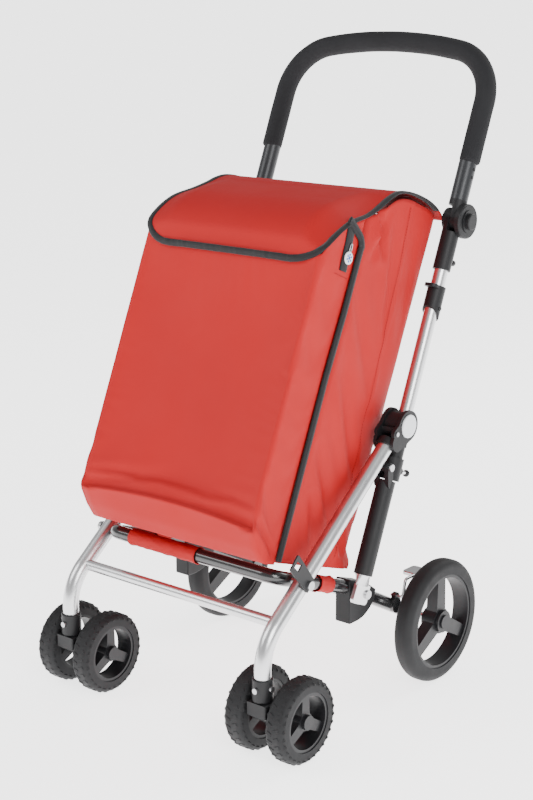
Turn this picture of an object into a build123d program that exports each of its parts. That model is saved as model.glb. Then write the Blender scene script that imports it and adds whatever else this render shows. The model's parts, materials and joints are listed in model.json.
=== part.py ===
from build123d import *
import os
from math import atan, cos, hypot, radians, sin

os.makedirs("parts", exist_ok=True)

# Folding shopping trolley. Millimetres, +Z up, front towards -Y, right side towards +X.
# The origin is on the floor, under the middle of the trolley's bounding box.

# ---------------------------------------------------------------- driving dimensions
side_x = 196.0          # plane of the uprights, front legs and lower links, each side
rail_x = 168.0          # plane of the platform rails, inside the legs
lean = atan(0.42)       # the uprights lean back this much
slope_foot_y = -133.4   # where the line of the uprights meets the floor
centring = 4.7          # brings the middle of the whole trolley over the origin

upright_r = 11.0
tube_wall = 1.5
upright_low = 404.0     # distances up the slope, from the floor
upright_high = 775.0

joint_s = 799.5         # fold pivot of the handle, up the slope
joint_n = -6.0          # and a little behind the middle of the tube
grip_start = 889.4      # where the foam grip begins
handle_r = 14.0

hinge_s = 470.3         # pivot of the front legs
hinge_n = 10.5
leg_r = 12.5
rail_pin = (-198.0, 248.5)   # pivot between legs and platform rails
foot_pin = (-40.0, 185.0)    # where the lower links meet the foot brackets
front_bar = (-222.0, 257.0)  # middle of the platform's front bar
axle = (121.0, 100.0)        # rear axle

rear_wheel_r = 100.0
rear_wheel_x = 218.8
rear_wheel_w = 32.0
caster_r = 63.5
caster_w = 33.0
caster_stem_y = -286.0
caster_axle = (-248.0, 63.5)
caster_spread = 38.4    # from the stem to the middle of each twin wheel

bag_half = 172.0
bag_wall = 3.0
bag_back = 2.0          # forward distance of the bag's back panel from the uprights' line
pocket_back = 205.0
pocket_front = 270.0

run_gap = 0.05          # radial clearance of a turning pin
seat_gap = 0.05         # radial clearance of a tube in its socket
sides = (("left", -1), ("right", 1))


# ---------------------------------------------------------------- helpers
def on_slope(s, n=0.0):
    """(y, z) of the point s up the slope and n in front of the uprights' line."""
    return (slope_foot_y + s * sin(lean) - n * cos(lean), s * cos(lean) + n * sin(lean))


def up_slope(x, s, n=0.0):
    """Plane whose normal runs up the slope; its local y points backwards."""
    y, z = on_slope(s, n)
    return Plane(origin=(x, y, z), x_dir=(1, 0, 0), z_dir=(0, sin(lean), cos(lean)))


def backwards(x, s, n):
    """Plane whose normal points straight back from the uprights."""
    return Plane(origin=(x, *on_slope(s, n)), x_dir=(1, 0, 0), z_dir=(0, cos(lean), -sin(lean)))


def heading(x, start, end):
    """Plane at start, facing end, both (y, z) points at one x."""
    return Plane(origin=(x, *start), x_dir=(1, 0, 0), z_dir=(0, end[0] - start[0], end[1] - start[1]))


def between(start, end, distance):
    """The (y, z) point a given distance from start towards end."""
    part = distance / hypot(end[0] - start[0], end[1] - start[1])
    return (start[0] + (end[0] - start[0]) * part, start[1] + (end[1] - start[1]) * part)


def rod(plane, length, radius, bore=0.0, mode=Mode.ADD):
    """A straight round bar or tube along the plane's normal."""
    with BuildSketch(plane) as section:
        Circle(radius)
        if bore:
            Circle(bore, mode=Mode.SUBTRACT)
    extrude(section.sketch, amount=length, mode=mode)


def disc(x_from, x_to, centre, radius, bore=0.0, mode=Mode.ADD):
    """A round plate or pin across the trolley, centred on a (y, z) point."""
    rod(Plane(origin=(x_from, *centre), x_dir=(0, 1, 0), z_dir=(1, 0, 0)), x_to - x_from, radius, bore, mode)


def plate(x_from, x_to, outline, corner=0.0, mode=Mode.ADD):
    """A flat plate across the trolley with a (y, z) outline."""
    with BuildSketch(Plane.YZ.offset(x_from)) as face:
        with BuildLine():
            Polyline(*outline, close=True)
        make_face()
        if corner:
            fillet(face.vertices(), corner)
    extrude(face.sketch, amount=x_to - x_from, mode=mode)


def joined_discs(x_from, x_to, first, first_r, second, second_r, mode=Mode.ADD):
    """A teardrop plate round two (y, z) points."""
    with BuildSketch(Plane.YZ.offset(x_from)) as face:
        with Locations(first):
            Circle(first_r)
        with Locations(second):
            Circle(second_r)
        make_hull()
    extrude(face.sketch, amount=x_to - x_from, mode=mode)


def finish(built, name):
    """Name a finished piece, centre it with the rest and write its file."""
    built.part.label = name
    built.part.position = (0, centring, 0)
    export_step(built.part, f"parts/{name}.step")


link_s, link_n = 402.0, 22.5      # pivot of the lower links, on the collar's front ear
link_pin = on_slope(link_s, link_n)
joint = on_slope(joint_s, joint_n)
hinge = on_slope(hinge_s, hinge_n)
leg_top = between(hinge, rail_pin, 34.0)

# ---------------------------------------------------------------- uprights
hinge_pin_r = 4.0
with BuildPart() as uprights:
    for x in (-side_x, side_x):
        rod(up_slope(x, upright_low), upright_high - upright_low, upright_r, upright_r - tube_wall)
    disc(-side_x - 20, side_x + 20, hinge, hinge_pin_r + seat_gap, mode=Mode.SUBTRACT)
finish(uprights, "uprights")

# Black sleeves between the hinge moulding and the collar.
stub_r = upright_r + 1.5
stub_low, stub_high = 396.0, 438.0
with BuildPart() as stub_sleeves:
    for x in (-side_x, side_x):
        rod(up_slope(x, stub_low), stub_high - stub_low, stub_r, upright_r + seat_gap)
finish(stub_sleeves, "stub_sleeves")

# ---------------------------------------------------------------- handle sockets
socket_low = 718.0
knuckle_r = 19.0
knuckle_clear = 21.5     # the full tube stops this far from the pivot
knuckle_split = side_x   # the two halves of the joint lap here
half_gap = 0.2
pin_r = 5.0


def lap_cut(x_from, length):
    """Clear the half of the joint that the other half turns in."""
    across = Plane(origin=(x_from, *joint), x_dir=(0, cos(lean), -sin(lean)), z_dir=(1, 0, 0))
    with BuildSketch(across) as room:
        Rectangle(80, 2 * knuckle_clear)
    extrude(room.sketch, amount=length, mode=Mode.SUBTRACT)


with BuildPart() as handle_sockets:
    rod(up_slope(side_x, socket_low), joint_s - knuckle_clear - socket_low, handle_r)
    rod(up_slope(side_x, joint_s - knuckle_clear - 4), knuckle_clear + 4, handle_r)
    disc(side_x - handle_r, knuckle_split, joint, knuckle_r)
    lap_cut(knuckle_split - half_gap, 40)
    rod(up_slope(side_x, socket_low), upright_high + 0.5 - socket_low, upright_r + seat_gap,
        mode=Mode.SUBTRACT)
    disc(side_x - handle_r - 1, knuckle_split + 1, joint, pin_r + run_gap, mode=Mode.SUBTRACT)
    mirror(about=Plane.YZ)
finish(handle_sockets, "handle_sockets")

# ---------------------------------------------------------------- handle
plug_r = 11.95
handle_low = joint_s + 30.0
handle_bend = grip_start + 98.3     # the side of the U starts to turn in here
corner_r = 85.0
crown_turn = 10.0                   # degrees of the gentle crown each side of the middle
crown_r = (side_x - corner_r * (1 - cos(radians(90 - crown_turn)))) / sin(radians(crown_turn))
slope_plane = Plane(origin=(0, slope_foot_y, 0), x_dir=(1, 0, 0), z_dir=(0, -cos(lean), sin(lean)))


def handle_path(start):
    """The U of the handle in the uprights' plane, from start up one side and down the other."""
    with BuildLine(slope_plane) as path:
        Line((side_x, start), (side_x, handle_bend))
        first = JernArc((side_x, handle_bend), (0, 1), corner_r, 90 - crown_turn)
        second = JernArc(first @ 1, first % 1, crown_r, 2 * crown_turn)
        third = JernArc(second @ 1, second % 1, corner_r, 90 - crown_turn)
        Line(third @ 1, (-side_x, start))
    return path.line


with BuildPart() as handle_tube:
    with BuildSketch(up_slope(side_x, handle_low)) as section:
        Circle(handle_r)
        Circle(plug_r + seat_gap, mode=Mode.SUBTRACT)
    sweep(section.sketch, path=handle_path(handle_low))
finish(handle_tube, "handle_tube")

grip_r = 16.4
with BuildPart() as grip_foam:
    with BuildSketch(up_slope(side_x, grip_start)) as section:
        Circle(grip_r)
        Circle(handle_r, mode=Mode.SUBTRACT)
    sweep(section.sketch, path=handle_path(grip_start))
finish(grip_foam, "grip_foam")

cover_x = side_x + handle_r      # inner face of the round covers
with BuildPart() as handle_knuckles:
    rod(up_slope(side_x, joint_s), handle_low - joint_s, handle_r)
    disc(knuckle_split + half_gap, cover_x, joint, knuckle_r)
    lap_cut(0, knuckle_split + half_gap)
    rod(up_slope(side_x, handle_low), 28, plug_r)
    disc(knuckle_split - 1, cover_x + 1, joint, pin_r, mode=Mode.SUBTRACT)
    mirror(about=Plane.YZ)
finish(handle_knuckles, "handle_knuckles")

with BuildPart() as handle_pins:
    disc(side_x - handle_r - 0.3, cover_x + 1, joint, pin_r)
    disc(side_x - handle_r - 2.3, side_x - handle_r - 0.3, joint, pin_r + 3)
    mirror(about=Plane.YZ)
finish(handle_pins, "handle_pins")

cover_r = 27.0
button_r = 12.5
button_travel = 2.5
cover_out = cover_x + 9.0
with BuildPart() as joint_covers:
    disc(cover_x, cover_out, joint, cover_r)
    outer_rim = joint_covers.faces().sort_by(Axis.X)[-1].edges()
    fillet(outer_rim, 3.0)
    disc(cover_out - 0.01, cover_out + 1.5, joint, button_r + 5)
    disc(cover_x + 1, cover_out + 3, joint, button_r, mode=Mode.SUBTRACT)
    disc(cover_x - 1, cover_x + 2, joint, pin_r, mode=Mode.SUBTRACT)
    mirror(about=Plane.YZ)
finish(joint_covers, "joint_covers")

for side, sign in sides:
    with BuildPart() as button:
        disc(cover_x + 1 + button_travel + 0.5, cover_out + 8.5, joint, button_r - run_gap)
        fillet(button.faces().sort_by(Axis.X)[-1].edges(), 2.0)
        if sign < 0:
            mirror(about=Plane.YZ, mode=Mode.REPLACE)
    finish(button, f"fold_button_{side}")

# Cross screws just under the grip.
with BuildPart() as handle_screws:
    for s in (grip_start - 9, grip_start - 22):
        disc(cover_x - 1, cover_x + 0.9, on_slope(s), 2.6)
    rod(up_slope(side_x, grip_start - 30), 30, handle_r, mode=Mode.SUBTRACT)
    mirror(about=Plane.YZ)
finish(handle_screws, "handle_screws")

# ---------------------------------------------------------------- bag hooks on the uprights
clip_r = 14.0
clip_low = 640.0
clip_high = 692.0
with BuildPart() as hook_clips:
    rod(up_slope(side_x, clip_low), clip_high - clip_low, clip_r)
    lip = up_slope(side_x, clip_high - 5)
    with BuildSketch(lip) as tongue:
        with Locations((0, -10)):
            RectangleRounded(22, 28, 8)
    extrude(tongue.sketch, amount=5)
    plate(side_x - 30, side_x + 30, [on_slope(clip_low - 1, -15), on_slope(clip_low - 1, 16),
                                     on_slope(clip_low + 19, 16)], mode=Mode.SUBTRACT)
    rod(up_slope(side_x, clip_low - 1), clip_high - clip_low + 2, upright_r + seat_gap, mode=Mode.SUBTRACT)
    mirror(about=Plane.YZ)
finish(hook_clips, "hook_clips")

# Thumb screws behind the handle sockets and small screws on the clips.
thumb_s = 736.0
with BuildPart() as frame_screws:
    rod(backwards(side_x, thumb_s, 1 - handle_r), 9, 2.4)
    rod(backwards(side_x, thumb_s, -handle_r - 8), 6, 4.6)
    disc(side_x + clip_r - 1, side_x + clip_r + 1.2, on_slope(658, -1), 3.0)
    rod(up_slope(side_x, clip_low), thumb_s + 20 - clip_low, handle_r, mode=Mode.SUBTRACT)
    mirror(about=Plane.YZ)
finish(frame_screws, "frame_screws")

# ---------------------------------------------------------------- leg hinges
core_in, core_out = side_x - 12.5, side_x + 12.5
core_r = 20.0
cheek_gap = 0.4
cheek_in = core_in - cheek_gap
cheek_out = core_out + cheek_gap
cheek_t = 5.6
cheek_r = 24.0
lobe = between(hinge, rail_pin, 34.0)
lobe_bolt = on_slope(452.5, 35.6)

with BuildPart() as hinge_cores:
    rod(up_slope(side_x, stub_high), 51.0, 14.0)
    disc(core_in, core_out, hinge, core_r)
    disc(0, core_in, hinge, 60.0, mode=Mode.SUBTRACT)
    disc(core_out, core_out + 60, hinge, 60.0, mode=Mode.SUBTRACT)
    rod(up_slope(side_x, stub_high - 1), 70.0, upright_r + seat_gap, mode=Mode.SUBTRACT)
    disc(core_in - 1, core_out + 1, hinge, hinge_pin_r, mode=Mode.SUBTRACT)
    mirror(about=Plane.YZ)
finish(hinge_cores, "hinge_cores")

web_from, web_to = radians(110), radians(138)
with BuildPart() as leg_hinges:
    for x_from, x_to in ((cheek_in - cheek_t, cheek_in), (cheek_out, cheek_out + cheek_t)):
        joined_discs(x_from, x_to, hinge, cheek_r, lobe, 14.0)
        with BuildSketch(Plane.YZ.offset(x_from)) as ear:
            with Locations(lobe_bolt):
                Circle(8.0)
            with Locations(between(lobe_bolt, hinge, 18.0)):
                Circle(14.0)
            make_hull()
        extrude(ear.sketch, amount=x_to - x_from)
    # The bridge over the leg's end ties the two cheeks together.
    with BuildSketch(Plane.YZ.offset(cheek_in)) as bridge:
        with BuildLine():
            near = [on_slope(hinge_s + 21.4 * cos(a), hinge_n + 21.4 * sin(a))
                    for a in (web_from, (web_from + web_to) / 2, web_to)]
            far = [on_slope(hinge_s + 26.5 * cos(a), hinge_n + 26.5 * sin(a))
                   for a in (web_from, (web_from + web_to) / 2, web_to)]
            ThreePointArc(*near)
            Line(near[2], far[2])
            ThreePointArc(*reversed(far))
            Line(far[0], near[0])
        make_face()
    extrude(bridge.sketch, amount=cheek_out - cheek_in)
    # A short socket round the top of the leg.
    rod(heading(side_x, leg_top, rail_pin), 12.0, 15.5)
    rod(heading(side_x, leg_top, rail_pin), 20.0, leg_r + seat_gap, mode=Mode.SUBTRACT)
    disc(cheek_in - cheek_t - 1, cheek_out + cheek_t + 1, hinge, hinge_pin_r + run_gap, mode=Mode.SUBTRACT)
    mirror(about=Plane.YZ)
finish(leg_hinges, "leg_hinges")

with BuildPart() as hinge_pins:
    disc(cheek_in - cheek_t + 1, cheek_out + cheek_t - 1, hinge, hinge_pin_r)
    mirror(about=Plane.YZ)
finish(hinge_pins, "hinge_pins")

cap_r = 18.0
with BuildPart() as hinge_caps:
    disc(cheek_out + cheek_t, cheek_out + cheek_t + 2.4, hinge, cap_r)
    fillet(hinge_caps.faces().sort_by(Axis.X)[-1].edges(), 1.5)
    mirror(about=Plane.YZ)
finish(hinge_caps, "hinge_caps")

# ---------------------------------------------------------------- front legs
leg_corner = (caster_stem_y, rail_pin[1] + (rail_pin[0] - caster_stem_y) * (rail_pin[1] - hinge[1])
              / (hinge[0] - rail_pin[0]))
leg_bend_r = 75.0
leg_foot = 106.0
leg_bottom = 97.0        # underside of the caster sockets
crossbar_r = 8.5
crossbar = (-253.7, 203.6)

with BuildPart() as front_legs:
    with BuildLine(Plane.YZ.offset(side_x)) as leg_path:
        FilletPolyline(leg_top, leg_corner, (caster_stem_y, leg_foot), radius=leg_bend_r)
    with BuildSketch(heading(side_x, leg_top, rail_pin)) as section:
        Circle(leg_r)
        Circle(leg_r - tube_wall, mode=Mode.SUBTRACT)
    sweep(section.sketch, path=leg_path.line)
    disc(side_x - 20, side_x + 20, rail_pin, 4.0, mode=Mode.SUBTRACT)
    disc(side_x - 20, side_x, crossbar, crossbar_r + seat_gap, mode=Mode.SUBTRACT)
    mirror(about=Plane.YZ)
finish(front_legs, "front_legs")

with BuildPart() as leg_crossbar:
    disc(3 - side_x, side_x - 3, crossbar, crossbar_r, crossbar_r - tube_wall)
finish(leg_crossbar, "leg_crossbar")

# Latch plate on the outside of the right leg, turned up at the front, with a slot in it.
latch_in = side_x + leg_r
with BuildPart() as latch_plate:
    plate(latch_in, latch_in + 2.5, [(-223.6, 303.3), (-242.3, 283.9), (-203, 237.5), (-186.8, 254.3)],
          corner=3.0)
    with BuildSketch(Plane(origin=(latch_in, -224.5, 285.3), x_dir=(0, 0.72, -0.69), z_dir=(1, 0, 0))) as eye:
        Rectangle(13, 11)
    extrude(eye.sketch, amount=3, mode=Mode.SUBTRACT)
    disc(latch_in - 1, latch_in + 3, rail_pin, 4.0, mode=Mode.SUBTRACT)
finish(latch_plate, "latch_plate")

# Pivot bolts of the rails, through latch plate, leg and rail.
rail_r = 11.0
with BuildPart() as rail_pivots:
    disc(rail_x - rail_r + 1, latch_in + 3.5, rail_pin, 4.0)
    disc(latch_in + 2.5, latch_in + 6.5, rail_pin, 7.0)
    mirror(about=Plane.YZ)
    # The left leg has a washer in place of the latch plate.
    disc(-latch_in - 2.5, -latch_in, rail_pin, 8.0)
finish(rail_pivots, "rail_pivots")

socket_r = 15.5
with BuildPart() as leg_bolts:
    disc(cheek_out + cheek_t, cheek_out + cheek_t + 1.8, lobe_bolt, 3.4)
    rod(Plane(origin=(side_x, caster_stem_y - 13.0, 116.0), x_dir=(1, 0, 0), z_dir=(0, -1, 0)), 5.5, 4.2)
    disc(side_x + 13.0, side_x + 18.5, (caster_stem_y, 118.0), 4.2)
    rod(Plane(origin=(side_x, caster_stem_y, leg_bottom)), 34.0, socket_r, mode=Mode.SUBTRACT)
    mirror(about=Plane.YZ)
finish(leg_bolts, "leg_bolts")

# ---------------------------------------------------------------- caster sockets
with BuildPart() as caster_sockets:
    rod(Plane(origin=(side_x, caster_stem_y, leg_bottom)), 34.0, socket_r)
    fillet(caster_sockets.edges().filter_by(GeomType.CIRCLE), 1.5)
    rod(Plane(origin=(side_x, caster_stem_y, leg_foot)), 40.0, leg_r + seat_gap, mode=Mode.SUBTRACT)
    rod(Plane(origin=(side_x, caster_stem_y, leg_bottom - 1)), leg_foot - leg_bottom - 2,
        pin_r + run_gap, mode=Mode.SUBTRACT)
    mirror(about=Plane.YZ)
finish(caster_sockets, "caster_sockets")

# ---------------------------------------------------------------- casters
fork_half = 18.0
fork_r = 20.5
for side, sign in sides:
    with BuildPart() as fork:
        with BuildSketch(Plane.YZ.offset(side_x - fork_half)) as outline:
            with Locations(caster_axle):
                Circle(fork_r)
            with Locations((caster_stem_y, leg_bottom - 11)):
                Rectangle(32, 20)
            make_hull()
        extrude(outline.sketch, amount=2 * fork_half)
        fillet(fork.edges().filter_by(Plane.YZ), 3.0)
        rod(Plane(origin=(side_x, caster_stem_y, leg_bottom - 3)), 2.6, 15.0)
        rod(Plane(origin=(side_x, caster_stem_y, leg_bottom - 3)), leg_foot - leg_bottom, pin_r)
        disc(side_x - 30, side_x + 30, caster_axle, pin_r, mode=Mode.SUBTRACT)
        if sign < 0:
            mirror(about=Plane.YZ, mode=Mode.REPLACE)
    finish(fork, f"caster_fork_{side}")

    with BuildPart() as spindle:
        disc(sign * side_x - caster_spread - 13, sign * side_x + caster_spread + 13, caster_axle, pin_r)
    finish(spindle, f"caster_axle_{side}")


def tyre(x, centre, radius, width, rim_radius, crown):
    """A solid tyre round a wheel that turns about an axis across the trolley."""
    with BuildSketch(Plane(origin=(x, *centre), x_dir=(1, 0, 0), z_dir=(0, -1, 0))) as section:
        with Locations((0, (radius + rim_radius) / 2)):
            Rectangle(width, radius - rim_radius)
        fillet(section.vertices().group_by(Axis.Y)[-1], crown)
    revolve(section.sketch, axis=Axis((x, *centre), (1, 0, 0)))


def spoked_hub(x, centre, rim_radius, width, hub_radius, spoke_width, dish, bore, outside):
    """A rim, a hub and three spokes; outside is +1 or -1, the side the closed cap faces."""
    cap = 3.0
    half = width / 2
    disc(x - half + 1.5, x + half - 1.5, centre, rim_radius, rim_radius - 5.0)
    disc(x - half, x + half, centre, hub_radius)
    disc(x - half + dish, x + half - dish, centre, hub_radius + 3)
    for turn in (90, 210, 330):
        with BuildSketch(Plane(origin=(x - half + dish, *centre), x_dir=(0, 1, 0), z_dir=(1, 0, 0))) as spoke:
            with BuildLine():
                far = rim_radius - 3.0
                Polyline((0, -spoke_width * 0.62), (far, -spoke_width / 2), (far, spoke_width / 2),
                         (0, spoke_width * 0.62), close=True)
            make_face()
        extrude(spoke.sketch.rotate(Axis((x, *centre), (1, 0, 0)), turn), amount=width - 2 * dish)
    low = x - half - 1 if outside > 0 else x - half + cap
    disc(low, low + width - cap + 1, centre, bore, mode=Mode.SUBTRACT)


for side, sign in sides:
    for place, step in (("inner", -1), ("outer", 1)):
        x = sign * (side_x + step * caster_spread)
        with BuildPart() as caster_tyre:
            tyre(x, caster_axle, caster_r, caster_w, 45.0, 9.0)
        finish(caster_tyre, f"caster_tyre_{side}_{place}")
        with BuildPart() as caster_hub:
            spoked_hub(x, caster_axle, 45.0, caster_w, 11.0, 15.0, 6.0, pin_r + run_gap, sign * step)
        finish(caster_hub, f"caster_hub_{side}_{place}")

rear_pin_r = 6.0
for side, sign in sides:
    x = sign * rear_wheel_x
    with BuildPart() as rear_tyre:
        tyre(x, axle, rear_wheel_r, rear_wheel_w, 77.0, 12.0)
    finish(rear_tyre, f"rear_tyre_{side}")
    with BuildPart() as rear_hub:
        spoked_hub(x, axle, 77.0, rear_wheel_w, 18.0, 20.0, 6.0, rear_pin_r + run_gap, sign)
        face_x = x + sign * rear_wheel_w / 2
        disc(min(face_x, face_x + sign * 3), max(face_x, face_x + sign * 3), axle, 11.0)
    finish(rear_hub, f"rear_hub_{side}")

# ---------------------------------------------------------------- platform
rail_bore = rail_r - tube_wall
bar_corner_r = 26.0
rail_end = (-35.0, 187.2)      # the rails end inside the foot brackets


def flat_on_rails(point):
    """Distance of a (y, z) point behind the front bar."""
    return hypot(point[0] - front_bar[0], point[1] - front_bar[1])


platform_path = Plane(origin=(0, *front_bar), x_dir=(1, 0, 0),
                      z_dir=(0, -(rail_end[1] - front_bar[1]), rail_end[0] - front_bar[0]))
with BuildPart() as platform_bar:
    reach = flat_on_rails(rail_end)
    with BuildLine(platform_path) as bar_path:
        FilletPolyline((rail_x, reach), (rail_x, 0), (-rail_x, 0), (-rail_x, reach), radius=bar_corner_r)
    with BuildSketch(heading(rail_x, rail_end, front_bar)) as section:
        Circle(rail_r)
        Circle(rail_bore, mode=Mode.SUBTRACT)
    sweep(section.sketch, path=bar_path.line)
    disc(-rail_x - 20, rail_x + 20, rail_pin, 4.0 + run_gap, mode=Mode.SUBTRACT)
finish(platform_bar, "platform_bar")

arm_start = (-25.0, 177.8)
arm_out = rail_x + 13.0
brake_pin = (66.0, 147.0)
brake_r = 2.5
with BuildPart() as rear_arms:
    rod(heading(rail_x, arm_start, axle), hypot(axle[0] - arm_start[0], axle[1] - arm_start[1]), rail_r)
    disc(rail_x - 13, arm_out, axle, 14.0)
    joined_discs(rail_x + 6, arm_out, (66, 129.5), 11.0, brake_pin, 6.0)
    rod(heading(rail_x, arm_start, axle), 120, rail_bore, mode=Mode.SUBTRACT)
    disc(rail_x - 14, arm_out + 1, axle, rear_pin_r, mode=Mode.SUBTRACT)
    disc(rail_x - 14, arm_out + 1, brake_pin, brake_r + run_gap, mode=Mode.SUBTRACT)
    mirror(about=Plane.YZ)
finish(rear_arms, "rear_arms")

with BuildPart() as rear_axle:
    axle_end = rear_wheel_x + rear_wheel_w / 2 - 4
    disc(-axle_end, axle_end, axle, rear_pin_r)
finish(rear_axle, "rear_axle")

# Moulded brackets that join rail, arm and lower link, each with a foot under it.
foot_in, foot_out = rail_x - 15, rail_x + 13
with BuildPart() as foot_brackets:
    with BuildSketch(Plane.YZ.offset(foot_in)) as foot:
        with BuildLine():
            Polyline((6, 163), (8, 176), (-20, 196), (-60, 210), (-60, 137), (-40, 137))
            ThreePointArc((-40, 137), (-14, 144), (6, 163))
        make_face()
        fillet(foot.vertices().sort_by(Axis.X)[:2], 3.0)
    extrude(foot.sketch, amount=foot_out - foot_in)
    fillet(foot_brackets.edges().filter_by(Plane.YZ), 2.0)
    rod(heading(rail_x, rail_end, front_bar), 60, rail_r + seat_gap, mode=Mode.SUBTRACT)
    rod(heading(rail_x, arm_start, axle), 60, rail_r + seat_gap, mode=Mode.SUBTRACT)
    mirror(about=Plane.YZ)
finish(foot_brackets, "foot_brackets")

# Fabric straps of the bag, round the front bar and the side rails.
strap_r = rail_r + 2.0
with BuildPart() as platform_straps:
    disc(-118, 18, front_bar, strap_r, rail_r)
    for x in (-rail_x, rail_x):
        rod(heading(x, between(front_bar, rail_end, 98), rail_end), 34, strap_r, rail_r)
finish(platform_straps, "platform_straps")

# ---------------------------------------------------------------- collars and lower links
collar_r = 15.5
collar_low, collar_high = 385.0, 420.0
ear_r = 7.0
ear_half = 6.0
link_bolt_r = 3.5
plunger_r = 3.0
with BuildPart() as collars:
    rod(up_slope(side_x, collar_low), collar_high - collar_low, collar_r)
    joined_discs(side_x - ear_half, side_x + ear_half, on_slope(link_s, 4), 10.0, link_pin, ear_r)
    rod(backwards(side_x, link_s, -10), 13.0, 6.5)
    rod(up_slope(side_x, stub_low), 40, stub_r + seat_gap, mode=Mode.SUBTRACT)
    disc(side_x - 10, side_x + 10, link_pin, link_bolt_r + run_gap, mode=Mode.SUBTRACT)
    rod(backwards(side_x, link_s, -stub_r - 1), 20, plunger_r + run_gap, mode=Mode.SUBTRACT)
    mirror(about=Plane.YZ)
finish(collars, "collars")

knob_at = on_slope(link_s, -42)
for side, sign in sides:
    with BuildPart() as plunger:
        rod(backwards(sign * side_x, link_s, -15), 23.0, plunger_r)
    finish(plunger, f"plunger_pin_{side}")
    with BuildPart(Plane(origin=(sign * side_x, *knob_at))) as knob:
        Sphere(5.6)
        rod(backwards(sign * side_x, link_s, -15), 23.0, plunger_r, mode=Mode.SUBTRACT)
    finish(knob, f"plunger_knob_{side}")

link_axis_n = 6.0
link_top = 380.0
sleeve_low, sleeve_high = 235.0, 371.0
round_from, flat_from, flat_low = 234.0, 218.0, 190.0   # the tube is squeezed flat at its foot
flat_half = 3.0
foot_pin_r = 4.0
with BuildPart() as link_tubes:
    rod(up_slope(side_x, round_from, link_axis_n), link_top - round_from, leg_r, leg_r - tube_wall)
    with BuildSketch(up_slope(side_x, round_from + 1, link_axis_n)) as round_end:
        Circle(leg_r - tube_wall / 2)
    with BuildSketch(up_slope(side_x, flat_from)) as flat_end:
        Ellipse(flat_half + 0.4, 18.5)
    loft([flat_end.sketch, round_end.sketch])
    with BuildSketch(Plane.YZ.offset(side_x - flat_half)) as tongue:
        with BuildLine():
            Polyline(on_slope(flat_from + 2, -17.5), on_slope(flat_low, -19), on_slope(flat_low, 19),
                     on_slope(flat_from + 2, 17.5), close=True)
        make_face()
        fillet(tongue.vertices().sort_by(Axis.Y)[:2], 6.0)
    extrude(tongue.sketch, amount=2 * flat_half)
    disc(side_x - 10, side_x + 10, foot_pin, foot_pin_r, mode=Mode.SUBTRACT)
    mirror(about=Plane.YZ)
finish(link_tubes, "link_tubes")

with BuildPart() as link_sleeves:
    for x in (-side_x, side_x):
        rod(up_slope(x, sleeve_low, link_axis_n), sleeve_high - sleeve_low, 14.5, leg_r + seat_gap)
finish(link_sleeves, "link_sleeves")

cheek_x = side_x - ear_half - 0.3
with BuildPart() as link_heads:
    rod(up_slope(side_x, sleeve_high, link_axis_n), 12.0, 14.5)
    joined_discs(side_x - 13.5, side_x + 13.5, on_slope(377, 12), 6.0, link_pin, ear_r)
    with BuildSketch(up_slope(side_x, 383.2)) as room:
        Rectangle(2 * (side_x - cheek_x), 90)
    extrude(room.sketch, amount=40, mode=Mode.SUBTRACT)
    rod(up_slope(side_x, 383.2), 40, collar_r + 0.8, mode=Mode.SUBTRACT)
    rod(up_slope(side_x, sleeve_high - 1, link_axis_n), link_top + 1 - sleeve_high, leg_r + seat_gap,
        mode=Mode.SUBTRACT)
    disc(side_x - 20, side_x + 20, link_pin, link_bolt_r, mode=Mode.SUBTRACT)
    mirror(about=Plane.YZ)
finish(link_heads, "link_heads")

with BuildPart() as link_bolts:
    disc(side_x - 13.5, side_x + 14, link_pin, link_bolt_r)
    disc(side_x + 13.5, side_x + 16.5, link_pin, 5.5)
    # The foot pin with its head, and the spacer between the link and the bracket.
    disc(foot_out + 0.4, side_x - flat_half, foot_pin, 12.0)
    disc(foot_out + 0.4, side_x + flat_half + 1, foot_pin, foot_pin_r)
    disc(side_x + flat_half, side_x + flat_half + 3, foot_pin, foot_pin_r + 3)
    mirror(about=Plane.YZ)
finish(link_bolts, "link_bolts")

# ---------------------------------------------------------------- foot brakes
wire_x = side_x - 4.0
for side, sign in sides:
    with BuildPart() as brake:
        with BuildLine() as wire:
            FilletPolyline((rail_x + 2, *brake_pin), (wire_x, *brake_pin), (wire_x, 72, 176),
                           (wire_x, 104, 176), radius=6.0)
        with BuildSketch(Plane(origin=(rail_x + 2, *brake_pin), z_dir=(1, 0, 0))) as section:
            Circle(brake_r)
        sweep(section.sketch, path=wire.line)
        with BuildSketch(Plane.XY.offset(173)) as pedal:
            with Locations((side_x - 11, 112)):
                RectangleRounded(34, 34, 7)
        extrude(pedal.sketch, amount=6)
        fillet(brake.faces().filter_by(Axis.Z).sort_by(Axis.Z)[-1].edges(), 2.0)
        if sign < 0:
            mirror(about=Plane.YZ, mode=Mode.REPLACE)
    finish(brake, f"brake_lever_{side}")

# ---------------------------------------------------------------- bag
def slope_outline(*points):
    """(y, z) outline from (s, n) points."""
    return [on_slope(s, n) for s, n in points]


bag_top = 797.0
with BuildPart() as bag_shell:
    plate(-bag_half, bag_half, slope_outline((234, bag_back), (bag_top, bag_back), (bag_top, 124),
                                             (757, pocket_back - 1.5), (219, pocket_back - 1.5)))
    inside = slope_outline((234 + 3.3, bag_back + bag_wall), (850, bag_back + bag_wall),
                           (850, pocket_back - 1.5 - bag_wall), (219 + 3.3, pocket_back - 1.5 - bag_wall))
    plate(bag_wall - bag_half, bag_half - bag_wall, inside, mode=Mode.SUBTRACT)
finish(bag_shell, "bag_shell")

with BuildPart() as bag_board:
    plate(-150, 150, slope_outline((239, 9), (243, 9), (227.5, 196), (223.5, 196)))
finish(bag_board, "bag_board")

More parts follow.
